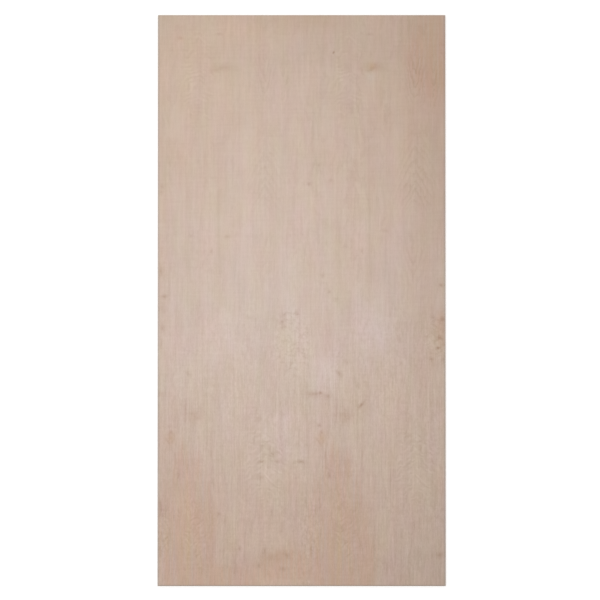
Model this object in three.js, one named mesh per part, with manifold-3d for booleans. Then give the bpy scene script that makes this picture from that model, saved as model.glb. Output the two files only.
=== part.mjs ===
// A full sheet of cross-banded plywood, lying flat on its back face.
//
// Millimetres, +Z up. X runs across the face grain, Y runs along it, and Z is the thickness.
// The origin is the middle of the back face, so the sheet fills z = 0 to SHEET_THICKNESS.
//
// The sheet is one solid. It is the space that three sawn outlines have in common:
//   the plan, with its four eased corners, taken through the thickness;
//   the section seen from an end, which carries the plies of the two long edges;
//   the section seen from the side, which carries the plies of the two short edges.
// Grain turns through a right angle from each ply to the next. A ply that is cut across its
// grain keeps its length as the sheet dries, and a ply that is cut along its grain draws back.
// So the even plies stand proud on the long edges, and the odd ones on the short edges.

import * as THREE from 'three';
import { mergeVertices } from 'three/addons/utils/BufferGeometryUtils.js';
import Module from 'manifold-3d';

// ---------------------------------------------------------------- driving dimensions

const SHEET_WIDTH = 1220; // across the face grain
const SHEET_LENGTH = 2440; // along the face grain
const SHEET_THICKNESS = 18;
const PLY_COUNT = 13; // an odd number, so that both faces run along Y
const FACE_PLY_THICKNESS = 1.15; // each outer ply, thinned by sanding
const PLY_STEP = 0.15; // how far end grain stands proud of long grain on a sawn edge
const ARRIS_RADIUS = 0.4; // rounding along the edges of both faces
const CORNER_RADIUS = 1.2; // rounding of the four corners in plan

const ARC_DIVISIONS = 2; // a rounded arc gets twice this many straight pieces

// ---------------------------------------------------------------- lay-up

const innerPlyThickness = (SHEET_THICKNESS - 2 * FACE_PLY_THICKNESS) / (PLY_COUNT - 2);

/** The plies from the back face up: where each one starts and ends, and which way it runs. */
function layUp() {
  const plies = [];
  let bottom = 0;
  for (let number = 1; number <= PLY_COUNT; number += 1) {
    const isFace = number === 1 || number === PLY_COUNT;
    const top = bottom + (isFace ? FACE_PLY_THICKNESS : innerPlyThickness);
    plies.push({ bottom, top, grain: number % 2 === 1 ? 'Y' : 'X' });
    bottom = top;
  }
  return plies;
}

// ---------------------------------------------------------------- outlines

/** The plan of the sheet, with its corners eased. */
function planOutline() {
  const x = SHEET_WIDTH / 2;
  const y = SHEET_LENGTH / 2;
  const r = CORNER_RADIUS;
  const outline = new THREE.Shape();
  outline.moveTo(x, -y + r);
  outline.lineTo(x, y - r);
  outline.absarc(x - r, y - r, r, 0, Math.PI / 2, false);
  outline.lineTo(-x + r, y);
  outline.absarc(-x + r, y - r, r, Math.PI / 2, Math.PI, false);
  outline.lineTo(-x, -y + r);
  outline.absarc(-x + r, -y + r, r, Math.PI, 1.5 * Math.PI, false);
  outline.lineTo(x - r, -y);
  outline.absarc(x - r, -y + r, r, 1.5 * Math.PI, 2 * Math.PI, false);
  return outline;
}

/**
 * A section through the thickness, `across` wide, whose two sides are stepped ply by ply.
 * Plies whose grain runs along `proudGrain` reach the full width there.
 */
function sectionOutline(across, proudGrain) {
  const side = [];
  for (const ply of layUp()) {
    const reach = across / 2 - (ply.grain === proudGrain ? 0 : PLY_STEP);
    side.push({ reach, height: ply.bottom }, { reach, height: ply.top });
  }
  const first = side.shift();
  const last = side.pop();
  const r = ARRIS_RADIUS;
  const outline = new THREE.Shape();
  outline.moveTo(0, first.height);
  outline.lineTo(first.reach - r, first.height);
  outline.absarc(first.reach - r, first.height + r, r, 1.5 * Math.PI, 2 * Math.PI, false);
  side.forEach((corner) => outline.lineTo(corner.reach, corner.height));
  outline.absarc(last.reach - r, last.height - r, r, 0, Math.PI / 2, false);
  outline.lineTo(-last.reach + r, last.height);
  outline.absarc(-last.reach + r, last.height - r, r, Math.PI / 2, Math.PI, false);
  side.reverse().forEach((corner) => outline.lineTo(-corner.reach, corner.height));
  outline.absarc(-first.reach + r, first.height + r, r, Math.PI, 1.5 * Math.PI, false);
  return outline;
}

// ---------------------------------------------------------------- solids

const wasm = await Module();
wasm.setup();

/** An outline drawn in the XY plane becomes a prism of the given length, centred on z = 0. */
function prism(outline, length) {
  const geometry = new THREE.ExtrudeGeometry(outline, {
    depth: length,
    bevelEnabled: false,
    curveSegments: ARC_DIVISIONS,
  });
  return geometry.translate(0, 0, -length / 2);
}

/** A closed three.js geometry as a solid that can be joined and cut. */
function toSolid(geometry) {
  geometry.deleteAttribute('normal');
  geometry.deleteAttribute('uv');
  const merged = mergeVertices(geometry);
  return new wasm.Manifold(
    new wasm.Mesh({
      numProp: 3,
      vertProperties: new Float32Array(merged.attributes.position.array),
      triVerts: new Uint32Array(merged.index.array),
    }),
  );
}

/** The solid back as a three.js geometry. */
function toGeometry(solid) {
  const mesh = solid.getMesh();
  const geometry = new THREE.BufferGeometry();
  geometry.setAttribute('position', new THREE.BufferAttribute(mesh.vertProperties, 3));
  geometry.setIndex(new THREE.BufferAttribute(mesh.triVerts, 1));
  geometry.computeVertexNormals();
  return geometry;
}

/** The whole sheet. Each outline is taken one thickness past the other two at either end. */
function sheetGeometry() {
  const overrun = 2 * SHEET_THICKNESS;
  const plan = prism(planOutline(), SHEET_THICKNESS + overrun);
  plan.translate(0, 0, SHEET_THICKNESS / 2);

  // The end section lies in XZ and is taken along Y.
  const endSection = prism(sectionOutline(SHEET_WIDTH, 'X'), SHEET_LENGTH + overrun);
  endSection.rotateX(Math.PI / 2);

  // The side section lies in YZ and is taken along X.
  const sideSection = prism(sectionOutline(SHEET_LENGTH, 'Y'), SHEET_WIDTH + overrun);
  sideSection.rotateX(Math.PI / 2);
  sideSection.rotateZ(Math.PI / 2);

  const solid = toSolid(plan).intersect(toSolid(endSection)).intersect(toSolid(sideSection));
  return toGeometry(solid);
}

// ---------------------------------------------------------------- scene graph

const sandedBirch = new THREE.MeshStandardMaterial({
  color: 0xc6b1a2,
  roughness: 0.72,
  metalness: 0,
});

const sheet = new THREE.Mesh(sheetGeometry(), sandedBirch);
sheet.name = 'plywood_sheet';

const part = new THREE.Group();
part.add(sheet);

export default part;
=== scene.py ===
"""A full sheet of pale rotary-cut plywood, lying face up on a white floor and seen from above."""

import math
from collections import namedtuple

import bpy
import numpy as np
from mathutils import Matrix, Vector


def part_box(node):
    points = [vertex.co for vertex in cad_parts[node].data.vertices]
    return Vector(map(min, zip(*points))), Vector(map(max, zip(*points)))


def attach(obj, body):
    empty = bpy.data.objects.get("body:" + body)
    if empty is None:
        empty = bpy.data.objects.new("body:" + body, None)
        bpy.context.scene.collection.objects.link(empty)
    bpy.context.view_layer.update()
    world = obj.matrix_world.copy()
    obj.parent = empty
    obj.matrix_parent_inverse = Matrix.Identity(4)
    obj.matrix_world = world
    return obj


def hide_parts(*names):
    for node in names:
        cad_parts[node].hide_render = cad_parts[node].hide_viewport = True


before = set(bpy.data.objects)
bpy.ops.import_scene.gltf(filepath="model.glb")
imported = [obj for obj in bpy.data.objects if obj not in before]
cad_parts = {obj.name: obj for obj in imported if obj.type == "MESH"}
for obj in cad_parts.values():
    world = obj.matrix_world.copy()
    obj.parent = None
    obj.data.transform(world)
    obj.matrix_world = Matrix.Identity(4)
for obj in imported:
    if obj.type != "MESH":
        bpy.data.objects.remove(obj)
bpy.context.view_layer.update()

# ------------ sizes, in metres

MM = 0.001
LOW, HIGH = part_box("plywood_sheet")
WIDTH = HIGH.x - LOW.x  # across the face grain
LENGTH = HIGH.y - LOW.y  # along the face grain
THICKNESS = HIGH.z - LOW.z
HALF_WIDTH = WIDTH / 2
HALF_LENGTH = LENGTH / 2

PLY_COUNT = 13
FACE_PLY = 1.15 * MM
INNER_PLY = (THICKNESS - 2 * FACE_PLY) / (PLY_COUNT - 2)
PLY_STEP = 0.15 * MM  # end grain stands this proud of long grain
GLUE_LINE = 0.07 * MM
END_GRAIN_TEAR = 0.06 * MM  # how far the saw tears each kind of grain
LONG_GRAIN_TEAR = 0.03 * MM
TEAR_SEED = 7

ARRIS = 0.4 * MM
ARRIS_ANGLES = (0, 30, 60, 90)  # degrees round the arris, from the face to the edge
CORNER = 1.2 * MM
CORNER_ANGLES = (22.5, 45.0, 67.5)  # degrees round a corner, between its two ends
STATION_PITCH = 8 * MM  # spacing of the mesh along the edges
DECIMALS = 6  # places along an edge are rounded to a micrometre
SAME_PLACE = 1e-6

LOG_GIRTH = 0.639  # the face veneer was peeled from a log this far round
PEEL = 1.5 * MM  # how much nearer the pith the knife is after each turn

# A gap in a core veneer, where it meets the sawn edge: which side of the sheet, how far along
# from that side's middle, which ply counting from the back, and how wide and deep it is.
CoreGap = namedtuple("CoreGap", "side along ply wide deep")
CORE_GAPS = (
    CoreGap("+x", -0.742, 4, 0.009, 0.0030),
    CoreGap("+x", 0.318, 9, 0.004, 0.0016),
    CoreGap("-x", 0.905, 6, 0.006, 0.0024),
    CoreGap("-x", -0.206, 10, 0.003, 0.0012),
    CoreGap("-y", 0.377, 5, 0.007, 0.0026),
    CoreGap("+y", -0.148, 8, 0.005, 0.0020),
)
GAP_LIP = 0.1  # how wide the lip at either end of a gap is, as a share of the gap


def side_length(side):
    """The length of one side of the sheet, which is named for the way it faces."""
    return LENGTH if side[1] == "x" else WIDTH


def ply_heights():
    """The height of every ply's back and front, from the back face up."""
    inner = [FACE_PLY + INNER_PLY * k for k in range(PLY_COUNT - 1)]
    return [0.0, *inner, THICKNESS]


# ------------ points round the edges

Station = namedtuple("Station", "x y nx ny side along")


def straight(side):
    """Distances from the middle of one side, evenly spaced, with more round each core gap."""
    reach = side_length(side) / 2 - CORNER
    steps = round(2 * reach / STATION_PITCH)
    found = set(np.linspace(-reach, reach, steps + 1).round(DECIMALS))
    for gap in CORE_GAPS:
        if gap.side == side:
            half, lip = gap.wide / 2, gap.wide * GAP_LIP
            for across in (-half - lip, -half, 0, half, half + lip):
                found.add(round(gap.along + across, DECIMALS))
    return sorted(found)


def stations():
    """Points round the plan, anticlockwise, each with its outward normal and its side."""
    sides = (
        ("+x", lambda t: (HALF_WIDTH, t), 0),
        ("+y", lambda t: (-t, HALF_LENGTH), 90),
        ("-x", lambda t: (-HALF_WIDTH, -t), 180),
        ("-y", lambda t: (t, -HALF_LENGTH), 270),
    )
    found = []
    for side, place, facing in sides:
        angle = math.radians(facing)
        nx, ny = math.cos(angle), math.sin(angle)
        found += [Station(*place(t), nx, ny, side, t) for t in straight(side)]
        end = side_length(side) / 2 - CORNER
        end_x, end_y = place(end)
        centre_x, centre_y = end_x - CORNER * nx, end_y - CORNER * ny
        for step in CORNER_ANGLES:
            turned = math.radians(facing + step)
            nx, ny = math.cos(turned), math.sin(turned)
            x, y = centre_x + CORNER * nx, centre_y + CORNER * ny
            found.append(Station(x, y, nx, ny, side, end + CORNER * math.radians(step)))
    return found


Level = namedtuple("Level", "ply z inset")


def levels():
    """The edge's section from back to front: the ply each level is on, its height and inset."""
    rounding = []
    for degrees in ARRIS_ANGLES:
        angle = math.radians(degrees)
        rounding.append((ARRIS * (1 - math.cos(angle)), ARRIS * (1 - math.sin(angle))))
    heights = ply_heights()
    found = [Level(1, rise, inset) for rise, inset in rounding]
    for ply in range(1, PLY_COUNT + 1):
        low, high = heights[ply - 1], heights[ply]
        if ply > 1:
            found.append(Level(ply, low + GLUE_LINE / 2, 0.0))
            found.append(Level(ply, (low + high) / 2, 0.0))
        if ply < PLY_COUNT:
            found.append(Level(ply, high - GLUE_LINE / 2, 0.0))
    found += [Level(PLY_COUNT, THICKNESS - rise, inset) for rise, inset in reversed(rounding)]
    return found


def gap_depth(station, level):
    """How far a core gap sinks this point of the edge."""
    for gap in CORE_GAPS:
        if gap.side == station.side and gap.ply == level.ply:
            if abs(station.along - gap.along) <= gap.wide / 2 + SAME_PLACE:
                return gap.deep
    return 0.0


def edge_inset(station, level, rough):
    """How far a point of the edge lies inside the sheet's outline."""
    grain_along_y = level.ply % 2 == 1
    long_grain = 1 - abs(station.ny if grain_along_y else station.nx)
    tear = rough * (LONG_GRAIN_TEAR if long_grain > 0.5 else END_GRAIN_TEAR)
    return level.inset + PLY_STEP * long_grain + tear + gap_depth(station, level)


# ------------ places on the map

# A piece's maps are square, from 0 to 1. The two faces stand side by side on them, each as high
# as the map, and then come the four edges in narrow strips, running from the back to the front.
Chart = namedtuple("Chart", "left right")
FRONT_CHART = Chart(0.004, 0.560)
BACK_CHART = Chart(0.568, 0.840)
FIRST_STRIP = 0.848
STRIP_PITCH, STRIP_GUTTER = 0.036, 0.006
STRIP_CHARTS = {
    side: Chart(FIRST_STRIP + STRIP_PITCH * k, FIRST_STRIP + STRIP_PITCH * (k + 1) - STRIP_GUTTER)
    for k, side in enumerate(("+x", "-x", "+y", "-y"))
}
MAP_EDGE = 0.004


def on_chart(chart, across, up):
    """The place on the map of a point so far across and up a chart, from 0 to 1."""
    return chart.left + (chart.right - chart.left) * across, MAP_EDGE + (1 - 2 * MAP_EDGE) * up


def on_face(chart, x, y):
    """The place on the map of a point of a face."""
    return on_chart(chart, (x - LOW.x) / WIDTH, (y - LOW.y) / LENGTH)


def on_strip(side, along, z):
    """The place on the map of a point of an edge."""
    up = min(max(0.5 + along / side_length(side), 0.0), 1.0)
    return on_chart(STRIP_CHARTS[side], (z - LOW.z) / THICKNESS, up)


# ------------ the sheet's mesh

FRONT, BACK, EDGES = range(3)  # material slots


def edge_points(ring, section):
    """The points of the edges: a column of them, from back to front, for each station."""
    rough = np.random.default_rng(TEAR_SEED).random((len(ring), len(section)))
    points = []
    for i, station in enumerate(ring):
        for j, level in enumerate(section):
            inset = edge_inset(station, level, rough[i, j])
            x, y = station.x - station.nx * inset, station.y - station.ny * inset
            points.append((x, y, level.z))
    return points


def edge_quads(ring, section):
    """The faces between each column of points and the next, and their places on the map."""
    count, deep = len(ring), len(section)
    quads, places = [], []
    for i, station in enumerate(ring):
        after = (i + 1) % count
        side, along = station.side, station.along
        end = ring[after].along if ring[after].side == side else side_length(side) / 2
        here, there = i * deep, after * deep
        for j in range(deep - 1):
            quads.append((here + j, there + j, there + j + 1, here + j + 1))
            low, high = section[j].z, section[j + 1].z
            corners = ((along, low), (end, low), (end, high), (along, high))
            places += [on_strip(side, t, z) for t, z in corners]
    return quads, places


def add_object(name, data):
    """Puts something new into the scene."""
    made = bpy.data.objects.new(name, data)
    bpy.context.scene.collection.objects.link(made)
    return made


def build_sheet(materials):
    """The dressed sheet: two flat faces, and sawn edges whose plies stand out in relief."""
    ring, section = stations(), levels()
    points = edge_points(ring, section)
    faces, places = edge_quads(ring, section)
    slots = [EDGES] * len(faces)
    count, deep = len(ring), len(section)
    front = [i * deep + deep - 1 for i in range(count)]
    back = [i * deep for i in reversed(range(count))]
    for outline, slot, chart in ((front, FRONT, FRONT_CHART), (back, BACK, BACK_CHART)):
        faces.append(outline)
        slots.append(slot)
        places += [on_face(chart, points[k][0], points[k][1]) for k in outline]

    mesh = bpy.data.meshes.new("plywood_panel")
    mesh.from_pydata(points, [], faces)
    mesh.polygons.foreach_set("material_index", slots)
    layer = mesh.uv_layers.new(name="OFBake")
    layer.uv.foreach_set("vector", np.array(places, np.float32).ravel())
    mesh.validate()
    mesh.update()
    for material in materials:
        mesh.materials.append(material)
    return add_object("plywood_panel", mesh)


# ------------ node trees as expressions


class Field:
    """A number that varies over a surface: one node output, with arithmetic."""

    def __init__(self, nodes, socket):
        self.nodes = nodes
        self.socket = socket

    def math(self, operation, *others, clamp=False):
        return self.nodes.math(operation, self, *others, clamp=clamp)

    def __add__(self, other):
        return self.math("ADD", other)

    def __radd__(self, other):
        return self.math("ADD", other)

    def __sub__(self, other):
        return self.math("SUBTRACT", other)

    def __rsub__(self, other):
        return self.nodes.math("SUBTRACT", other, self)

    def __mul__(self, other):
        return self.math("MULTIPLY", other)

    def __truediv__(self, other):
        return self.math("DIVIDE", other)

    def size(self):
        """The number without its sign."""
        return self.math("ABSOLUTE")

    def clamped(self):
        """The number, kept between 0 and 1."""
        return self.math("ADD", 0.0, clamp=True)

    def rise(self, low, high):
        """0 below low, 1 above high, and smooth between them. With low above high it falls."""
        return self.nodes.rise(self, low, high)

    def follow(self, ramp):
        """What a ramp says for this number."""
        return self.rise(ramp.start, ramp.end) * (ramp.last - ramp.first) + ramp.first


# Goes smoothly from first, where a number is at start, to last, where it is at end.
Ramp = namedtuple("Ramp", "start end first last")

# Smooth noise: the size of its cells along each axis, how many finer layers it has, how strong
# each one is beside the last, and how many seed steps from the origin it is taken.
Noise = namedtuple("Noise", "cell detail roughness seed")
SEED_STEP = (1.0, -0.7, 1.3)


def grain(wide, tall, detail=2.0, roughness=0.5, seed=0.0):
    """Noise in a log, whose cells are so wide round it and so tall along it."""
    return Noise((wide, wide, tall), detail, roughness, seed)


class Nodes:
    """Writes the nodes of a material or of the world."""

    def __init__(self, owner):
        owner.use_nodes = True
        self.owner = owner
        self.tree = owner.node_tree
        self.tree.nodes.clear()

    def feed(self, socket, value):
        """Gives an input its value: a field, another node's output, a colour or a number."""
        if isinstance(value, Field):
            value = value.socket
        if isinstance(value, bpy.types.NodeSocket):
            self.tree.links.new(value, socket)
        elif socket.type == "RGBA":
            socket.default_value = (*value, 1.0)
        else:
            socket.default_value = value

    def make(self, kind, inputs=None, **settings):
        made = self.tree.nodes.new(kind)
        for key, value in settings.items():
            setattr(made, key, value)
        for key, value in (inputs or {}).items():
            self.feed(made.inputs[key], value)
        return made

    def math(self, operation, *values, clamp=False):
        made = self.make("ShaderNodeMath", operation=operation, use_clamp=clamp)
        for socket, value in zip(made.inputs, values):
            self.feed(socket, value)
        return Field(self, made.outputs[0])

    def rise(self, value, low, high):
        inputs = {"Value": value, "From Min": low, "From Max": high}
        made = self.make("ShaderNodeMapRange", inputs, interpolation_type="SMOOTHSTEP")
        return Field(self, made.outputs["Result"])

    def vector_math(self, operation, *vectors, scale=None):
        made = self.make("ShaderNodeVectorMath", operation=operation)
        for socket, value in zip(made.inputs, vectors):
            self.feed(socket, value)
        if scale is not None:
            self.feed(made.inputs["Scale"], scale)
        return made.outputs[0]

    def split(self, vector):
        made = self.make("ShaderNodeSeparateXYZ", {"Vector": vector})
        return [Field(self, socket) for socket in made.outputs]

    def join(self, x, y, z):
        return self.make("ShaderNodeCombineXYZ", {"X": x, "Y": y, "Z": z}).outputs[0]

    def blend(self, share, first, second):
        """Goes from the first colour to the second as share goes from 0 to 1."""
        made = self.make("ShaderNodeMix", data_type="RGBA", blend_type="MIX")
        self.feed(made.inputs["Factor"], share)
        colours = [socket for socket in made.inputs if socket.type == "RGBA"]
        for socket, colour in zip(colours, (first, second)):
            self.feed(socket, colour)
        return next(socket for socket in made.outputs if socket.type == "RGBA")

    def blend_number(self, share, first, second):
        """Goes from the first number to the second as share goes from 0 to 1."""
        made = self.make("ShaderNodeMix", data_type="FLOAT")
        self.feed(made.inputs["Factor"], share)
        numbers = [socket for socket in made.inputs if socket.type == "VALUE"][1:]
        for socket, number in zip(numbers, (first, second)):
            self.feed(socket, number)
        return Field(self, next(socket for socket in made.outputs if socket.type == "VALUE"))


class WoodNodes(Nodes):
    """The nodes of a wooden surface, with lengths in millimetres."""

    def __init__(self, name):
        super().__init__(bpy.data.materials.new(name))
        coordinates = self.make("ShaderNodeTexCoord")
        in_mm = self.vector_math("SCALE", coordinates.outputs["Object"], scale=1 / MM)
        self.x, self.y, self.z = self.split(in_mm)

    def plan(self):
        """Where each point lies in the sheet's plan."""
        return self.join(self.x, self.y, 0.0)

    def noise(self, place, noise):
        """Smooth noise about 0, mostly within 0.3 either way."""
        moved = self.make(
            "ShaderNodeMapping",
            {
                "Vector": place,
                "Location": tuple(noise.seed * step for step in SEED_STEP),
                "Scale": tuple(1 / size for size in noise.cell),
            },
        )
        inputs = {"Scale": 1.0, "Detail": noise.detail, "Roughness": noise.roughness}
        made = self.make("ShaderNodeTexNoise", {"Vector": moved.outputs[0], **inputs})
        return Field(self, made.outputs[0]) - 0.5

    def tinted(self, colour, share, tint):
        """Multiplies a colour by a tint, as far as share says."""
        made = self.make("ShaderNodeMix", data_type="VECTOR", factor_mode="UNIFORM")
        self.feed(made.inputs["Factor"], share)
        sides = [socket for socket in made.inputs if socket.type == "VECTOR" and socket.enabled]
        for socket, side in zip(sides, ((1.0, 1.0, 1.0), tint)):
            self.feed(socket, side)
        gain = next(socket for socket in made.outputs if socket.type == "VECTOR")
        return self.vector_math("MULTIPLY", colour, gain)

    def shifted(self, colour, amount, weights):
        """Raises each channel of a colour by amount times its weight, as a share of itself."""
        spread = self.join(amount, amount, amount)
        gain = self.vector_math("MULTIPLY_ADD", spread, weights, (1, 1, 1))
        return self.vector_math("MULTIPLY", colour, gain)

    def blot(self, place, mark):
        """1 in the middle of a mark, falling smoothly to 0 at its rim."""
        moved = self.make(
            "ShaderNodeMapping",
            {
                "Vector": place,
                "Location": (mark.x, mark.y, 0.0),
                "Rotation": (0.0, 0.0, math.radians(mark.turn)),
                "Scale": (mark.wide, mark.tall, 1.0),
            },
            vector_type="TEXTURE",
        )
        ball = self.make(
            "ShaderNodeTexGradient", {"Vector": moved.outputs[0]}, gradient_type="QUADRATIC_SPHERE"
        )
        return Field(self, ball.outputs[1])

    def surface(self, colour, roughness, height, bump, specular=0.5):
        """Ends the material: a rough dielectric with a bump whose height is in millimetres."""
        relief = self.make("ShaderNodeBump", {"Strength": bump, "Distance": MM, "Height": height})
        shader = self.make(
            "ShaderNodeBsdfPrincipled",
            {
                "Base Color": colour,
                "Roughness": roughness,
                "Specular IOR Level": specular,
                "Normal": relief.outputs[0],
            },
        )
        self.make("ShaderNodeOutputMaterial", {"Surface": shader.outputs[0]})
        return self.owner


# ------------ colours, in linear RGB

SAPWOOD = (0.590, 0.446, 0.358)
MARK_TINT = (0.470, 0.300, 0.190)
STAIN_TINT = (0.620, 0.370, 0.240)

# How much of a change in tone each channel takes. Darker wood is also browner.
WOOD_TONE = (0.82, 1.02, 1.25)
PINK_OR_STRAW = (0.45, -0.70, 0.25)
YELLOW_OR_GREY = (0.05, 0.10, -1.00)
BROWN_STREAK = (-0.40, -1.00, -1.45)
LILAC_LIGHT = (0.60, 0.55, 1.00)
# painted shade along the rim of the face
RIM_SHADE_GREY = (-1.00, -0.60, -0.20)

LONG_GRAIN = (0.560, 0.410, 0.290)  # the two kinds of ply at the edges
END_GRAIN = (0.450, 0.305, 0.200)
GLUE = (0.150, 0.085, 0.045)
# painted shade inside the core gaps
GAP_SHADE = (0.300, 0.240, 0.200)

# ------------ what lies on the face

# Everything here lies on the face, in millimetres from the middle of the sheet. What is named
# for the log comes round again each time the knife has gone once round it.

# A wide, soft change of colour.
Region = namedtuple("Region", "x y wide tall turn tint")
REGIONS = (
    Region(-120, -30, 780, 1200, 0, (1.00, 1.06, 1.13)),  # paler, cooler middle of the sheet: partly the wood's own tone, partly painted sheen
    Region(-500, 1100, 650, 900, 0, (1.08, 1.06, 1.02)),
    Region(-220, 1150, 300, 130, 0, (1.07, 1.05, 1.02)),
    Region(560, 950, 520, 1100, 0, (0.96, 0.90, 0.85)),
    Region(620, 300, 330, 1500, 0, (0.93, 0.93, 0.92)),
    Region(-120, -1250, 950, 750, 0, (1.06, 1.00, 0.97)),
    Region(-600, -1150, 300, 500, 0, (1.07, 1.07, 1.07)),
    Region(600, -1150, 350, 550, 0, (0.94, 0.93, 0.93)),
    Region(180, -650, 90, 300, 0, (0.96, 0.95, 0.94)),
    Region(560, 700, 130, 420, 0, (0.96, 0.955, 0.95)),
    Region(60, 1190, 300, 130, 0, (1.00, 0.96, 0.91)),
    Region(0, 1250, 700, 170, 0, (0.97, 0.94, 0.91)),
    Region(-280, -1215, 640, 150, 0, (1.055, 1.060, 1.065)),
    Region(-45, -170, 130, 260, 0, (0.995, 1.00, 0.965)),
    Region(-512, 1118, 36, 34, 0, (1.015, 0.985, 0.940)),  # an orange pin knot
    Region(-556, -592, 38, 55, 0, (1.01, 0.97, 0.87)),  # straw-coloured wood round an old bud
    Region(83, -592, 38, 55, 0, (1.01, 0.96, 0.84)),
    Region(-540, -40, 200, 300, 0, (1.00, 1.02, 1.05)),
    Region(-480, 200, 150, 480, 0, (0.99, 1.00, 1.05)),
    Region(430, 150, 300, 560, 0, (0.99, 1.00, 1.04)),
    Region(-505, -300, 330, 330, 0, (1.05, 1.09, 1.14)),
    Region(360, -260, 320, 320, 0, (1.02, 1.03, 1.06)),
    Region(-490, -960, 170, 430, 0, (1.05, 1.02, 1.00)),
    Region(175, -930, 130, 430, 0, (0.98, 0.96, 0.94)),
    Region(100, -305, 190, 210, 0, (1.05, 1.09, 1.15)),  # two bluish white patches
    Region(290, -130, 230, 300, 0, (1.00, 1.03, 1.09)),
    Region(299, 1000, 36, 42, 0, (1.01, 0.94, 0.83)),  # an orange knot, covered by the last wood
    Region(293, 953, 50, 62, 0, (1.03, 1.08, 1.15)),  # and the paler wood below it
)

# A patch of the face whose grain differs from the rest.
Zone = namedtuple("Zone", "x y wide tall turn")
LOG_BROWN_ZONES = (Zone(-488, -1000, 205, 590, 0),)
SHEET_BROWN_ZONES = (
    Zone(-330, -1200, 240, 110, 0),
    Zone(255, -1130, 120, 260, 0),
    Zone(-60, -1135, 230, 120, 0),
    Zone(560, 1050, 200, 330, 0),
    Zone(594, -125, 52, 140, 0),
)
LILAC_ZONES = (
    Zone(-310, -160, 160, 200, 0),
    Zone(100, -305, 130, 130, 0),
    Zone(310, -110, 130, 220, 0),
    Zone(-70, -560, 200, 130, 0),
    Zone(-140, -735, 50, 75, 0),
    Zone(-20, -655, 85, 45, 0),
)
BURSTS = (  # where the grain curls round overgrown buds
    Zone(-155, -700, 165, 300, 0),
    Zone(-450, -1000, 85, 230, 0),
)
LOG_STREAKED_ZONES = (Zone(-549, -800, 115, 340, 0),)
LOG_CURLY_ZONES = (
    Zone(-450, -960, 60, 200, 12),
    Zone(-600, -980, 80, 200, 0),
)
LOG_RIPPLED_ZONES = (Zone(-437, 940, 125, 370, 0),)
SPECKLED_ZONES = (Zone(-40, -180, 135, 250, 0), Zone(570, -160, 90, 160, 0))

# Where the knife skimmed the rings, whose lines nest along a ridge as arrowheads: the height of
# the ridge in millimetres of log radius, what it gains for each millimetre across and along it,
# and how dark its lines are. The arrowheads point up where it gains along, and down where it
# loses.
Ridge = namedtuple("Ridge", "zone level across along shade")
RIDGES = (
    Ridge(Zone(-90, 925, 85, 250, 0), 5, 0.150, -0.030, 1.5),
    Ridge(Zone(-156, 945, 95, 270, 0), 6, 0.170, -0.034, 1.7),
    Ridge(Zone(-158, 500, 170, 480, 0), 0, 0.110, 0.056, 1.1),
    Ridge(Zone(-165, 160, 140, 330, 0), -5, 0.120, -0.038, 0.8),
)

LOG_SEAM = -130.0  # each turn of the log starts here: no mark of the log's lies near this line

# A dark mark: its middle in millimetres from the middle of the sheet, its half-width and
# half-height, the angle it is turned anticlockwise in degrees, and how dark it is.
Mark = namedtuple("Mark", "x y wide tall turn dark")

# These come round again each time the knife has gone once round the log.
LOG_MARKS = (
    Mark(-334, 996, 26, 12, 8, 0.050),  # arc over a covered knot
    Mark(-372, 982, 25, 9, 20, 0.020),
    Mark(-276, 986, 31, 9, -14, 0.022),
    Mark(-352, 1139, 11, 5, 0, 0.11),
    Mark(-432, 838, 30, 4, 4, 0.035),  # ripples
    Mark(-430, 820, 34, 4, -4, 0.035),
    Mark(-434, 803, 28, 4, 0, 0.05),
    Mark(-383, 208, 5, 11, 0, 0.10),
    Mark(-480, -316, 7, 13, 40, 0.09),  # comma
    Mark(-594, -400, 20, 9, 0, 0.055),  # bar
    Mark(-492, -468, 4, 40, -4, 0.080),  # staple-shaped scar
    Mark(-462, -487, 19, 5, 0, 0.045),
    Mark(-427, -470, 4, 22, 0, 0.05),
    Mark(-491, -490, 3, 190, 0, 0.03),
    Mark(-564, -539, 8, 5, 0, 0.08),  # teardrop
    Mark(-554, -567, 6, 8, 0, 0.160),
    Mark(-557, -600, 12, 22, 0, 0.022),  # its brown heart, and two nested V strokes
    Mark(-560, -582, 4, 16, 25, 0.055),
    Mark(-541, -580, 4, 17, -20, 0.045),
    Mark(-569, -603, 4, 19, 38, 0.07),
    Mark(-546, -604, 4, 19, -30, 0.050),
    Mark(-553, -640, 4, 24, 0, 0.045),
    Mark(-538, -661, 5, 17, 0, 0.068),
    Mark(-522, -753, 5, 14, 0, 0.155),
    Mark(-382, -680, 4, 102, 0, 0.045),  # string of beads
    Mark(-382, -655, 5, 11, 0, 0.032),
    Mark(-379, -727, 6, 13, 0, 0.065),
    Mark(-352, 408, 7, 205, 0, 0.036),
)

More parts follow.
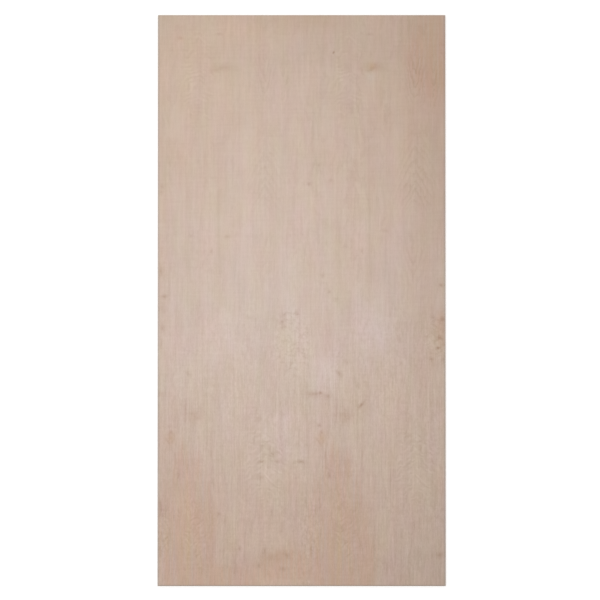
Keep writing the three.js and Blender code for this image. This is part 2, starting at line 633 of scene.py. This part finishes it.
# These show once.
SHEET_MARKS = (
    Mark(-345, 993, 44, 15, 6, 0.010),  # the arc again, where it is darker
    Mark(-380, 978, 27, 9, 22, 0.026),
    Mark(-515, 1122, 8, 6, 0, 0.09),
    Mark(136, 1060, 4, 5, 0, 0.28),
    Mark(256, 1143, 8, 4, 0, 0.05),
    Mark(-471, 274, 7, 6, 0, 0.09),
    Mark(-316, 270, 11, 8, 0, 0.115),
    Mark(353, 297, 15, 6, 0, 0.08),
    Mark(184, 229, 8, 5, 0, 0.06),
    Mark(90, 105, 6, 9, 0, 0.12),
    Mark(118, 35, 7, 6, 0, 0.12),
    Mark(145, 3, 10, 7, 0, 0.075),
    Mark(-73, -63, 7, 6, 0, 0.14),  # pin knots of the freckled patch
    Mark(-18, -61, 9, 6, 0, 0.14),
    Mark(-84, -94, 7, 9, 0, 0.11),
    Mark(-81, -117, 7, 6, 0, 0.12),
    Mark(557, -79, 6, 14, 0, 0.07),  # pin knots near the right edge
    Mark(561, -112, 6, 9, 0, 0.08),
    Mark(597, -84, 8, 9, 0, 0.17),
    Mark(585, -163, 9, 7, 0, 0.20),
    Mark(577, -206, 7, 6, 0, 0.28),
    Mark(550, -253, 8, 6, 0, 0.16),
    Mark(601, -253, 6, 9, 0, 0.09),
    Mark(-593, 485, 7, 9, 0, 0.11),
    Mark(-596, 460, 6, 9, 0, 0.11),
    Mark(32, 496, 7, 7, 0, 0.125),
    Mark(73, 575, 4, 7, 0, 0.09),
    Mark(124, 511, 8, 6, 0, 0.08),
    Mark(159, -316, 7, 12, 40, 0.06),  # the comma again
    Mark(75, -536, 7, 6, 0, 0.10),  # the teardrop's tip
    Mark(40, -402, 20, 5, 0, 0.025),  # the bar again, with a dark tip
    Mark(64, -402, 13, 5, 0, 0.065),
    Mark(80, -397, 6, 5, 0, 0.22),
    Mark(111, -414, 12, 11, 0, 0.16),
    Mark(252, -450, 6, 16, -42, 0.25),  # slash
    Mark(-4, -692, 15, 6, 0, 0.19),
    Mark(-171, -624, 9, 7, 0, 0.085),  # freckles of the burst
    Mark(-122, -661, 6, 7, 0, 0.140),
    Mark(-172, -691, 12, 7, 0, 0.140),
    Mark(-105, -691, 9, 6, 0, 0.125),
    Mark(-176, -758, 9, 10, 0, 0.140),
    Mark(-179, -509, 10, 10, 0, 0.045),
    Mark(311, 1009, 7, 5, 0, 0.05),  # the rim and the arms of the covered knot
    Mark(293, 984, 16, 6, 35, 0.075),
    Mark(333, 999, 14, 5, -24, 0.025),
    Mark(306, -992, 4, 128, 0, 0.075),
    Mark(-282, -1142, 4, 77, 0, 0.09),
    Mark(-292, 737, 4, 154, 0, 0.018),
    Mark(-293, 592, 6, 30, 0, 0.045),
    Mark(-374, -787, 4, 21, 12, 0.07),
    Mark(-352, -813, 6, 17, 12, 0.05),
    Mark(-172, -885, 6, 19, 0, 0.05),
    Mark(-126, -907, 5, 17, 0, 0.08),
    Mark(-88, -954, 14, 11, 0, 0.04),
    Mark(-89, -988, 5, 11, 0, 0.09),
    Mark(-350, -915, 7, 8, 0, 0.13),
    Mark(-325, -945, 4, 17, 0, 0.08),
    Mark(-263, -1063, 6, 9, 0, 0.115),
    Mark(-157, -1073, 5, 15, 0, 0.17),
    Mark(-141, -1099, 19, 13, 0, 0.05),
    Mark(-182, -1137, 5, 9, 0, 0.16),
    Mark(-66, -1090, 17, 9, -20, 0.10),
    Mark(-81, -1150, 14, 8, 0, 0.11),
    Mark(586, -1090, 21, 11, 0, 0.095),
    Mark(465, -1134, 4, 17, 35, 0.06),
    Mark(-597, 122, 7, 17, 0, 0.14),
    Mark(-583, 14, 13, 7, 0, 0.150),
    Mark(-590, -36, 12, 21, 0, 0.07),
    Mark(-596, -890, 10, 28, 0, 0.120),
    Mark(-590, -121, 8, 15, 0, 0.13),
    Mark(-597, -190, 6, 20, 0, 0.07),
    Mark(592, 63, 8, 6, 0, 0.14),
)

# The same for marks that are redder, wider and softer.
LOG_STAINS = (
    Mark(-336, 989, 44, 17, 6, 0.035),
    Mark(-594, -408, 22, 12, 0, 0.045),  # bar
    Mark(-490, -475, 6, 30, -6, 0.035),  # scar
    Mark(-472, -502, 22, 23, 0, 0.060),
    Mark(-440, -502, 22, 23, 0, 0.060),
    Mark(-555, -592, 20, 30, 0, 0.025),  # teardrop
)
SHEET_STAINS = (
    Mark(32, -404, 19, 12, 0, 0.045),
    Mark(64, -404, 17, 12, 0, 0.055),
    Mark(266, -466, 24, 26, 0, 0.035),
    Mark(-76, -104, 16, 20, 0, 0.045),
    Mark(594, -120, 12, 60, 0, 0.045),
    Mark(560, -230, 34, 22, 0, 0.030),
    Mark(592, 63, 12, 14, 0, 0.040),
    Mark(303, 998, 18, 14, 25, 0.035),
)

# ------------ marks and zones

MARK_SPREAD = 2.5  # the blot that draws a mark is this much wider than the mark
MARK_GAIN = 2.55  # and drawn this much darker, since it fades outwards
ZONE_BORDER = 0.35  # a zone is full where its own blot is above this
RAG_ACROSS, RAG_ALONG = 8.0, 14.0  # how far every outline is ragged
RAG_CELL = (9.0, 9.0, 9.0)
RAGS_ACROSS = Noise(RAG_CELL, 2.0, 0.6, 31.0)
RAGS_ALONG = Noise(RAG_CELL, 2.0, 0.6, 47.0)


class Ground:
    """Where marks lie: on the sheet itself, or on the log, where they come round again."""

    def __init__(self, nodes, girth=None, lift=0.0):
        self.nodes = nodes
        self.girth = girth
        plan = nodes.plan()
        self.x = nodes.x + nodes.noise(plan, RAGS_ACROSS) * RAG_ACROSS
        self.y = nodes.y + nodes.noise(plan, RAGS_ALONG) * RAG_ALONG + lift
        x = self.x if girth is None else self.x.math("WRAP", LOG_SEAM, LOG_SEAM - girth)
        self.place = nodes.join(x, self.y, 0.0)

    def beside(self, x):
        """How far to the right of a line this point lies, the shorter way round the log."""
        beside = self.x - x
        if self.girth is None:
            return beside
        return beside.math("WRAP", self.girth / 2, -self.girth / 2)

    def marks(self, marks):
        """The darkness of a set of marks."""
        total = 0.0
        for mark in marks:
            wider = mark._replace(wide=MARK_SPREAD * mark.wide, tall=MARK_SPREAD * mark.tall)
            share = self.nodes.blot(self.place, wider)
            total = self.nodes.math("MULTIPLY_ADD", share, mark.dark * MARK_GAIN, total)
        return total

    def zone(self, zone):
        """1 in the middle of a zone, falling smoothly to 0 at its rim."""
        place = self.nodes.join(self.beside(zone.x), self.y, 0.0)
        return self.nodes.blot(place, zone._replace(x=0.0))

    def zones(self, zones, border=ZONE_BORDER, least=0.0):
        """1 inside a set of zones and 0 outside them, with soft borders."""
        total = 0.0
        for zone in zones:
            total = self.zone(zone) + total
        return total.rise(least, border)


# ------------ the log and its grain

# Curled grain: how far its lines fall for each millimetre to either side, how far apart they
# are, what bends them and by how many of them, and the patches in which they show.
Whorls = namedtuple("Whorls", "fall pitch bend sway patches shown")
BURST_CURLS = Whorls(
    0.65, 28, grain(32, 41.6, seed=29.0), 2.7, grain(24, 24, seed=23.0), (-0.10, 0.15)
)
KNOT_RIPPLES = Whorls(
    0.5, 26, grain(50, 65, seed=25.0), 3.2, grain(45, 40, seed=37.0), (-0.10, 0.20)
)


class Log:
    """Where each point of a peeled veneer lay in the log."""

    def __init__(self, nodes, start):
        girth, peel = LOG_GIRTH / MM, PEEL / MM
        turns = (nodes.x + start) / girth
        angle = turns * math.tau
        self.nodes = nodes
        self.radius = girth / math.tau - turns * peel
        across, deep = self.radius * angle.math("COSINE"), self.radius * angle.math("SINE")
        self.place = nodes.join(across, deep, nodes.y)

    def noise(self, noise):
        """Noise in the log."""
        return self.nodes.noise(self.place, noise)

    def whorls(self, whorls, beside):
        """Curled grain, as on a fingertip: dark along its lines, which lie across the sheet.

        Beside is how far to the right of the curls' middle each point lies.
        """
        phase = (self.nodes.y + beside.size() * whorls.fall) / whorls.pitch
        phase = phase + self.noise(whorls.bend) * whorls.sway
        shown = self.noise(whorls.patches).rise(*whorls.shown)
        return (phase * math.tau).math("SINE") * shown


RING_PITCH = 2.6  # millimetres of radius between growth rings
RING_SHADE = 0.85  # how dark their lines are away from the ridges
RING_DARKENS = (0.35, 0.92)  # each ring darkens slowly over this share of it
RING_ENDS = (1.0, 0.94)  # and ends sharply
RING_STRENGTH = Ramp(-400, 450, 0.55, 1.00)  # from left to right
RING_PATCHES, RING_PATCHES_SHOWN = grain(90, 300, seed=21.0), (-0.18, 0.10)

# How the rings swell and shrink along the log and round it, in millimetres of radius.
SWELL, SWELL_DEPTH = grain(130, 420, detail=1.0, seed=3.0), 24
WAVES, WAVE_DEPTH = grain(26, 90, seed=8.0), 5
RIPPLES, RIPPLE_DEPTH = grain(8, 22, seed=10.0), 2.2

RIDGE_TIP = 5.0  # how blunt the tip of an arrowhead is, in millimetres
RIDGE_LEVEL = 0.25  # a ridge has its own level this share of its width to either side
RIDGE_BORDER = 0.25  # its lines are its own where its zone is above this
RIDGE_HEART = 0.7  # and full where its zone is above this


def ring_figure(log, ground, ridges):
    """The lines that the growth rings draw where the knife runs in and out of them."""
    blend_number = ground.nodes.blend_number
    swell = log.noise(SWELL) * SWELL_DEPTH
    shade = log.noise(RING_PATCHES).rise(*RING_PATCHES_SHOWN) * RING_SHADE
    for ridge in ridges:
        beside, above = ground.beside(ridge.zone.x), ground.y - ridge.zone.y
        blunt = (beside * beside + RIDGE_TIP * RIDGE_TIP).math("SQRT")
        flank = blunt - ridge.zone.wide * RIDGE_LEVEL
        inside = ground.zone(ridge.zone)
        share, heart = inside.rise(0.0, RIDGE_BORDER), inside.rise(0.0, RIDGE_HEART)
        height = flank * ridge.across + above * ridge.along + ridge.level
        swell = blend_number(share, swell, height)
        # The lines fade out where one figure runs into the next.
        shade = blend_number(share, shade, heart * ridge.shade)
        shade = shade * (share * 2.0 - 1.0).size()
    swell = swell + log.noise(WAVES) * WAVE_DEPTH + log.noise(RIPPLES) * RIPPLE_DEPTH
    shade = shade * log.nodes.x.follow(RING_STRENGTH)
    ring = ((log.radius + swell) / RING_PITCH).math("FRACT")
    return ring.rise(*RING_DARKENS) * ring.rise(*RING_ENDS) * shade


# ------------ the face veneer

# The grain, from fine to coarse, and how far each kind lightens or darkens the wood.
PORES, PORES_SHOWN, PORE_TONE = grain(0.45, 7, seed=17.0), (0.08, 0.22), 0.08
FIBRES, FIBRE_TONE = grain(3.5, 55, 4.0, 0.75, 5.0), 0.30
FLECKS, FLECK_TONE = grain(5, 9, 2.0, 0.7, 11.0), 0.12
CURL, CURL_TONE = grain(14, 20, 3.0, 0.7, 9.0), 0.10
LINES = grain(8, 500, 3.0, 0.75, 15.0)
STREAKS, STREAK_TONE = grain(12, 240, 3.0, 0.6, 6.0), 0.17
BANDS, BAND_TONE = grain(60, 900, 2.0, 0.6, 7.0), 0.10
CLOUDS, CLOUD_TONE = grain(110, 150, 2.0, 0.6, 12.0), 0.13
CHATTER, CHATTER_TONE = Noise((150, 8, 1), 2.0, 0.6, 19.0), 0.09  # the knife's, on the sheet
RING_TONE = 0.075

# The fine grain grows stronger towards the near end. It is more curled in some places, and
# the bursts hide some of it.
FINE_STRENGTH = Ramp(500, -600, 0.64, 1.56)
CURLY_PATCHES, CURLY_SHOWN, CURLY_SHARE = grain(150, 260, 1.0, seed=14.0), (-0.15, 0.20), 0.5
CURLY_TONE = 0.26
BURST_HIDES = 0.45

# Long thin lines come in patches. They too are stronger towards the near end.
LINE_PATCHES, LINE_PATCH_STRENGTH = grain(80, 260, seed=33.0), Ramp(-0.15, 0.20, 0.3, 1.7)
LINE_STRENGTH = Ramp(200, -700, 0.04, 0.24)

# Freckled wood: a pale net with dark spots in it.
NET, NET_LINE, NET_SHARE = grain(32, 30, 1.0, seed=27.0), 0.10, 0.55
FRECKLES, FRECKLES_SHOWN = grain(17, 14, 3.0, 0.65, 28.0), (0.02, -0.18)
SPECKLE_LEVEL = 0.05

# What else changes the tone inside its own zones.
RIPPLE_TONE = 0.048
SPECKLE_TONE = 0.105
BURST_TONE = 0.074
STREAKED_TONE = 0.18

# Soft changes of hue.
PINK_PATCHES, PINK_SHARE = grain(58, 190, seed=41.0), 0.13
YELLOW_PATCHES, YELLOW_SHARE = grain(70, 170, seed=43.0), 0.16
LILAC_SHARE = 0.06

# Brown heartwood ends in long fingers and lies in columns, some of them straw-coloured.
FINGERS, FINGER_LENGTH = grain(12, 3000, 2.0, 0.6, 35.0), 420
HEARTWOOD_BORDER = (0.22, 0.10)  # full where a blot is above the first, none below the second
COLUMN_STREAKS, COLUMN_BANDS, COLUMN_LINES, COLUMN_LEVEL = 4.5, 2.0, 4.0, 0.80
STRAW, STRAW_SHARE = grain(20, 700, 2.0, 0.6, 45.0), 0.23
BROWN_SHARE = 0.112

# The rim has painted shade, darker and greyer, for the rounded arris: how far in from the long
# edges that starts and where it is full, the same for the short edges, and how much of it there is.
SIDE_RIM_SHADE, END_RIM_SHADE = (11, 4), (8, 1)
END_RIM_SHADE_SHARE = 0.4
RIM_SHADE_SHARE = 0.14

FACE_ROUGHNESS, STREAK_ROUGHNESS = 0.55, 0.2
FACE_BUMP = 0.6
FIBRE_HEIGHT, PORE_HEIGHT, RING_HEIGHT = 0.06, 0.05, 0.02  # millimetres

Features = namedtuple(
    "Features",
    "marks stains regions brown lilac speckled"
    " log_marks log_stains log_brown log_curly log_rippled log_streaked bursts ridges",
)


class Face:
    """A face whose material is being written, and the grain that many parts of it use."""

    def __init__(self, name, start, features):
        self.nodes = WoodNodes(name)
        self.features = features
        self.log = Log(self.nodes, start)
        self.on_sheet = Ground(self.nodes)
        self.on_log = Ground(self.nodes, LOG_GIRTH / MM)
        self.rings = ring_figure(self.log, self.on_log, features.ridges)
        self.fibres = self.log.noise(FIBRES)
        self.streaks = self.log.noise(STREAKS)
        self.bands = self.log.noise(BANDS)
        self.pores = self.log.noise(PORES).rise(*PORES_SHOWN)
        patches = self.log.noise(LINE_PATCHES).follow(LINE_PATCH_STRENGTH)
        self.lines = self.log.noise(LINES) * patches
        self.burst = self.on_log.zones(features.bursts)


def fine_grain(face):
    """Fibres, flecks and pores, and the cross-grain shimmer of curly wood."""
    log = face.log
    curly = log.noise(CURLY_PATCHES).rise(*CURLY_SHOWN) * CURLY_SHARE
    curly = curly + face.on_log.zones(face.features.log_curly)
    curl = log.noise(CURL) * (curly * CURLY_TONE + CURL_TONE)
    fine = face.fibres * FIBRE_TONE + log.noise(FLECKS) * FLECK_TONE + curl - face.pores * PORE_TONE
    return fine * (1.0 - face.burst * BURST_HIDES)


def curled_grain(face):
    """The grain that curls round the overgrown buds, and ripples under the overgrown knot."""
    log, ground, features = face.log, face.on_log, face.features
    curls = log.whorls(BURST_CURLS, ground.beside(features.bursts[0].x))
    ripples = log.whorls(KNOT_RIPPLES, ground.beside(features.log_rippled[0].x))
    rippled = ground.zones(features.log_rippled)
    return rippled * ripples * RIPPLE_TONE + face.burst * curls * BURST_TONE


def speckles(face):
    """The light and dark of freckled wood."""
    net = face.log.noise(NET).size().rise(0.0, NET_LINE) * NET_SHARE
    return net - face.log.noise(FRECKLES).rise(*FRECKLES_SHOWN) - SPECKLE_LEVEL


def wood_tone(face):
    """How much lighter or darker the wood is than plain sapwood."""
    n, log, features = face.nodes, face.log, face.features
    tone = fine_grain(face) * n.y.follow(FINE_STRENGTH) - face.rings * RING_TONE
    tone = tone + face.streaks * STREAK_TONE + face.bands * BAND_TONE
    tone = tone + log.noise(CLOUDS) * CLOUD_TONE + n.noise(n.plan(), CHATTER) * CHATTER_TONE
    tone = tone + face.lines * n.y.follow(LINE_STRENGTH)
    tone = tone + curled_grain(face)
    tone = tone + face.on_sheet.zones(features.speckled) * speckles(face) * SPECKLE_TONE
    return tone + face.on_log.zones(features.log_streaked) * face.lines * STREAKED_TONE


def with_heartwood(face, colour):
    """Adds brown heartwood, which ends in long fingers."""
    n, log, features = face.nodes, face.log, face.features
    brown = face.on_sheet.zones(features.brown)
    fingered = Ground(n, LOG_GIRTH / MM, log.noise(FINGERS) * FINGER_LENGTH)
    heartwood = fingered.zones(features.log_brown, *HEARTWOOD_BORDER)
    columns = face.streaks * COLUMN_STREAKS + face.bands * COLUMN_BANDS
    columns = (columns + face.lines * COLUMN_LINES + COLUMN_LEVEL).clamped()
    browned = (brown + heartwood).clamped() * columns * BROWN_SHARE
    colour = n.shifted(colour, browned, BROWN_STREAK)
    return n.shifted(colour, heartwood * log.noise(STRAW) * STRAW_SHARE, YELLOW_OR_GREY)


def with_regions(face, colour):
    """Adds the wide, soft changes of colour."""
    n = face.nodes
    plan = n.plan()
    for region in face.features.regions:
        colour = n.tinted(colour, n.blot(plan, region), region.tint)
    return colour


def with_marks(face, colour):
    """Adds the dark marks, and those that are redder and softer."""
    on_sheet, on_log, features = face.on_sheet, face.on_log, face.features
    marks = on_sheet.marks(features.marks) + on_log.marks(features.log_marks)
    stains = on_sheet.marks(features.stains) + on_log.marks(features.log_stains)
    colour = face.nodes.tinted(colour, marks.clamped(), MARK_TINT)
    return face.nodes.tinted(colour, stains.clamped(), STAIN_TINT)


def with_rim_shade(face, colour):
    """Adds painted shade along the rim, a little darker and greyer, for the shade of the rounded
    arris.
    """
    n = face.nodes
    side, end = HALF_WIDTH / MM, HALF_LENGTH / MM
    rim_shade_x = n.x.size().rise(side - SIDE_RIM_SHADE[0], side - SIDE_RIM_SHADE[1])
    rim_shade_y = n.y.size().rise(end - END_RIM_SHADE[0], end - END_RIM_SHADE[1]) * END_RIM_SHADE_SHARE
    return n.shifted(colour, rim_shade_x.math("MAXIMUM", rim_shade_y) * RIM_SHADE_SHARE, RIM_SHADE_GREY)


def veneer(name, start, features):
    """A sanded, peeled birch face."""
    face = Face(name, start, features)
    n, log = face.nodes, face.log
    colour = n.shifted(SAPWOOD, wood_tone(face), WOOD_TONE)
    colour = n.shifted(colour, log.noise(PINK_PATCHES) * PINK_SHARE, PINK_OR_STRAW)
    colour = n.shifted(colour, log.noise(YELLOW_PATCHES) * YELLOW_SHARE, YELLOW_OR_GREY)
    colour = with_heartwood(face, colour)
    colour = n.shifted(colour, face.on_sheet.zones(features.lilac) * LILAC_SHARE, LILAC_LIGHT)
    # The last step paints shade along the rim.
    colour = with_rim_shade(face, with_marks(face, with_regions(face, colour)))
    roughness = FACE_ROUGHNESS - face.streaks * STREAK_ROUGHNESS
    height = face.fibres * FIBRE_HEIGHT - face.pores * PORE_HEIGHT - face.rings * RING_HEIGHT
    return n.surface(colour, roughness, height, FACE_BUMP)


# ------------ the sawn edges

# Noise along each ply. Its cells are measured along the edge and through the thickness.
GLUE_RAGS, GLUE_RAG_DEPTH = Noise((3.0, 1.0, 1.0), 3.0, 0.6, 61.0), 0.06
PLY_STREAKS = Noise((45.0, 0.45, 1.0), 3.0, 0.6, 63.0)
PLY_PITS = Noise((0.5, 0.35, 1.0), 2.0, 0.7, 65.0)
PLY_RINGS = Noise((6.0, 1.1, 1.0), 2.0, 0.6, 67.0)
PLY_SHADES = Noise((260.0, 1.0, 1.0), 1.0, 0.5, 69.0)
SAW_MARKS = Noise((1.3, 25.0, 1.0), 2.0, 0.5, 71.0)
APART = 10.0  # how far apart plies and edges lie in the noise, so that no streak runs on

SHADE_TONE = 0.5
LONG_STREAK_TONE, END_STREAK_TONE = 0.45, 0.20
PIT_TONE, RING_BAND_TONE = 0.7, 0.5
GLUE_STARTS, GLUE_FULL = 0.455, 0.49  # shares of a ply, from its middle
GLUE_SHARE = 0.8
GAP_STARTS, GAP_FULL = -0.5, -1.1  # where the painted shade of a core gap starts and is full, in millimetres outwards from the sheet's outline
END_PIT_HEIGHT, LONG_PIT_HEIGHT = 0.12, 0.02  # millimetres
STREAK_HEIGHT, SAW_HEIGHT = 0.05, 0.05
LONG_ROUGHNESS, END_ROUGHNESS = 0.72, 0.82
EDGE_BUMP = 0.7
EDGE_SPECULAR = 0.35


def sawn_edges(name):
    """The cut edges: every other ply shows its end grain, with dark glue lines between."""
    n = WoodNodes(name)
    out_x = n.x.size() - HALF_WIDTH / MM
    out_y = n.y.size() - HALF_LENGTH / MM
    on_long_edge = out_x.math("GREATER_THAN", out_y)
    along = n.blend_number(on_long_edge, n.x, n.y)

    # Plies are counted from 0 at the back, and glue lines lie where the count steps.
    count = (n.z - FACE_PLY / MM) / (INNER_PLY / MM) + 1.0
    count = count.math("MAXIMUM", 0.5).math("MINIMUM", PLY_COUNT - 0.5)
    ply = count.math("FLOOR")
    odd = ply.math("MODULO", 2.0)
    end_grain = n.blend_number(on_long_edge, 1.0 - odd, odd)
    by_ply = n.join(along, ply * APART, on_long_edge * APART)
    ragged = n.noise(by_ply, GLUE_RAGS) * GLUE_RAG_DEPTH
    glue = ((count - ply - 0.5).size() + ragged).rise(GLUE_STARTS, GLUE_FULL)

    place = n.join(along, n.z + ply * APART, on_long_edge * APART)
    streaks, pits = n.noise(place, PLY_STREAKS), n.noise(place, PLY_PITS)
    tone = n.noise(by_ply, PLY_SHADES) * SHADE_TONE
    tone = tone + streaks * n.blend_number(end_grain, LONG_STREAK_TONE, END_STREAK_TONE)
    tone = tone + end_grain * (pits * PIT_TONE + n.noise(place, PLY_RINGS) * RING_BAND_TONE)
    colour = n.shifted(n.blend(end_grain, LONG_GRAIN, END_GRAIN), tone, WOOD_TONE)
    colour = n.blend(glue * GLUE_SHARE, colour, GLUE)
    # Painted shade, where the edge sinks into a core gap.
    gap_shade_share = out_x.math("MAXIMUM", out_y).rise(GAP_STARTS, GAP_FULL)
    colour = n.tinted(colour, gap_shade_share, GAP_SHADE)

    height = pits * n.blend_number(end_grain, LONG_PIT_HEIGHT, END_PIT_HEIGHT)
    height = height + streaks * STREAK_HEIGHT + n.noise(place, SAW_MARKS) * SAW_HEIGHT
    roughness = n.blend_number(end_grain, LONG_ROUGHNESS, END_ROUGHNESS)
    return n.surface(colour, roughness, height, EDGE_BUMP, EDGE_SPECULAR)


# ------------ floor, light and camera

PHOTO_MM_PER_PIXEL = 4.2394
FRAME_PIXELS = 600
MIDDLE_PIXEL = (301.66, 299.82)  # where the sheet's middle lies in the frame
CAMERA_ELEVATION = 82.25  # degrees
CAMERA_SENSOR = 36.0  # millimetres
CAMERA_LENS = 1500.0  # millimetres: a long lens far off, so that the sheet's sides stay parallel
CAMERA_NEAR = 1.0  # metres

WHITE = (1.0, 1.0, 1.0)
WORLD_LEVEL = 0.62
FLOOR_GREY = (0.82, 0.82, 0.82)
FLOOR_GLOW = 0.55  # what makes the floor white to the camera
FLOOR_HALF_SIZE = 60.0
FLOOR_DROP = 0.2 * MM  # keeps the sheet's back clear of the floor

SOFTBOX_PLACE = (-0.24, 0.18, 1.6)
SOFTBOX_SIZE = (1.0, 2.0)
SOFTBOX_WATTS = 12.5


def make_camera():
    """A camera above the near end, a few degrees off the square."""
    data = bpy.data.cameras.new("camera")
    data.lens = CAMERA_LENS
    data.sensor_width = CAMERA_SENSOR
    pixel = PHOTO_MM_PER_PIXEL * MM
    distance = FRAME_PIXELS * pixel / CAMERA_SENSOR * CAMERA_LENS
    data.clip_start, data.clip_end = CAMERA_NEAR, 2 * distance

    elevation = math.radians(CAMERA_ELEVATION)
    back = Vector((0.0, -math.cos(elevation), math.sin(elevation)))
    right = Vector((1.0, 0.0, 0.0))
    up = back.cross(right)
    aside = (FRAME_PIXELS / 2 - MIDDLE_PIXEL[0]) * pixel
    above = (MIDDLE_PIXEL[1] - FRAME_PIXELS / 2) * pixel
    aim = Vector((0.0, 0.0, THICKNESS)) + right * aside + up * above
    camera = add_object("camera", data)
    camera.location = aim + back * distance
    camera.rotation_mode = "QUATERNION"
    camera.rotation_quaternion = (-back).to_track_quat("-Z", "Y")
    bpy.context.scene.camera = camera


def make_world():
    """An even studio, which the camera and every reflection see as white."""
    world = bpy.data.worlds.new("studio")
    bpy.context.scene.world = world
    n = Nodes(world)
    path = n.make("ShaderNodeLightPath").outputs
    seen = n.math("MAXIMUM", path["Is Glossy Ray"], path["Is Transmission Ray"])
    seen = seen.math("MAXIMUM", path["Is Camera Ray"])
    strength = seen * (1.0 - WORLD_LEVEL) + WORLD_LEVEL
    background = n.make("ShaderNodeBackground", {"Color": WHITE, "Strength": strength})
    n.make("ShaderNodeOutputWorld", {"Surface": background.outputs[0]})


def floor_material():
    """Pale grey to the light, and lifted to white where the camera sees it."""
    n = Nodes(bpy.data.materials.new("floor"))
    path = n.make("ShaderNodeLightPath").outputs
    glow = n.math("MULTIPLY", path["Is Camera Ray"], FLOOR_GLOW)
    parts = (
        n.make("ShaderNodeBsdfDiffuse", {"Color": FLOOR_GREY}),
        n.make("ShaderNodeEmission", {"Strength": glow}),
    )
    both = n.make("ShaderNodeAddShader")
    for socket, part in zip(both.inputs, parts):
        n.feed(socket, part.outputs[0])
    n.make("ShaderNodeOutputMaterial", {"Surface": both.outputs[0]})
    return n.owner


def make_floor():
    """A level floor that keeps the sheet's shadow."""
    size, z = FLOOR_HALF_SIZE, -FLOOR_DROP
    corners = [(-size, -size, z), (size, -size, z), (size, size, z), (-size, size, z)]
    mesh = bpy.data.meshes.new("floor")
    mesh.from_pydata(corners, [], [(0, 1, 2, 3)])
    mesh.materials.append(floor_material())
    floor = add_object("floor", mesh)


def make_softbox():
    """A wide soft lamp straight above the sheet, a little towards its far left."""
    data = bpy.data.lights.new("softbox", "AREA")
    data.shape = "RECTANGLE"
    data.size, data.size_y = SOFTBOX_SIZE
    data.energy = SOFTBOX_WATTS
    lamp = add_object("softbox", data)
    lamp.location = SOFTBOX_PLACE
    lamp.visible_camera = False


bpy.context.scene.view_settings.view_transform = "Standard"
make_camera()
make_world()
make_floor()
make_softbox()

# ------------ the sheet

FACE_START = 610.0  # millimetres of veneer peeled before the middle of each face
BACK_START = 4100.0

FACE = Features(
    marks=SHEET_MARKS,
    stains=SHEET_STAINS,
    regions=REGIONS,
    brown=SHEET_BROWN_ZONES,
    lilac=LILAC_ZONES,
    speckled=SPECKLED_ZONES,
    log_marks=LOG_MARKS,
    log_stains=LOG_STAINS,
    log_brown=LOG_BROWN_ZONES,
    log_curly=LOG_CURLY_ZONES,
    log_rippled=LOG_RIPPLED_ZONES,
    log_streaked=LOG_STREAKED_ZONES,
    bursts=BURSTS,
    ridges=RIDGES,
)

# The back doesn't show in the photo. It is a second veneer, from further into such a log.
BACK_FACE = Features(
    marks=(
        Mark(-410, 820, 12, 10, 0, 0.22),  # pin knots
        Mark(255, 390, 9, 12, 20, 0.20),
        Mark(-130, -560, 14, 11, 0, 0.24),
        Mark(430, -930, 8, 9, 0, 0.18),
        Mark(-300, 130, 5, 120, 0, 0.07),  # mineral streaks
        Mark(120, 990, 6, 90, 2, 0.06),
        Mark(500, 60, 5, 140, -1, 0.07),
    ),
    stains=(Mark(255, 385, 24, 30, 0, 0.050),),
    regions=(
        Region(150, 400, 700, 1100, 0, (0.93, 0.90, 0.86)),
        Region(-350, -700, 600, 900, 0, (0.97, 0.93, 0.88)),
    ),
    brown=(Zone(300, -300, 260, 900, 0),),
    lilac=(Zone(-300, 500, 200, 200, 0),),
    speckled=(Zone(-130, -560, 90, 120, 0),),
    log_marks=(Mark(-240, -80, 9, 26, 0, 0.08),),
    log_stains=(Mark(-240, -90, 22, 40, 0, 0.040),),
    log_brown=(Zone(120, 700, 120, 500, 0),),
    log_curly=(Zone(-200, -900, 120, 260, 0),),
    log_rippled=(Zone(-240, 640, 110, 200, 0),),
    log_streaked=(Zone(150, 150, 130, 500, 0),),
    bursts=(Zone(60, -300, 90, 160, 0),),
    ridges=(
        Ridge(Zone(-90, 420, 150, 480, 0), 0, 0.120, 0.055, 1.0),
        Ridge(Zone(-95, -40, 140, 300, 0), -6, 0.120, -0.045, 0.9),
    ),
)

sheet = build_sheet(
    (
        veneer("face_veneer", FACE_START, FACE),
        veneer("back_veneer", BACK_START, BACK_FACE),
        sawn_edges("sawn_edges"),
    )
)
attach(sheet, "root")
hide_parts("plywood_sheet")
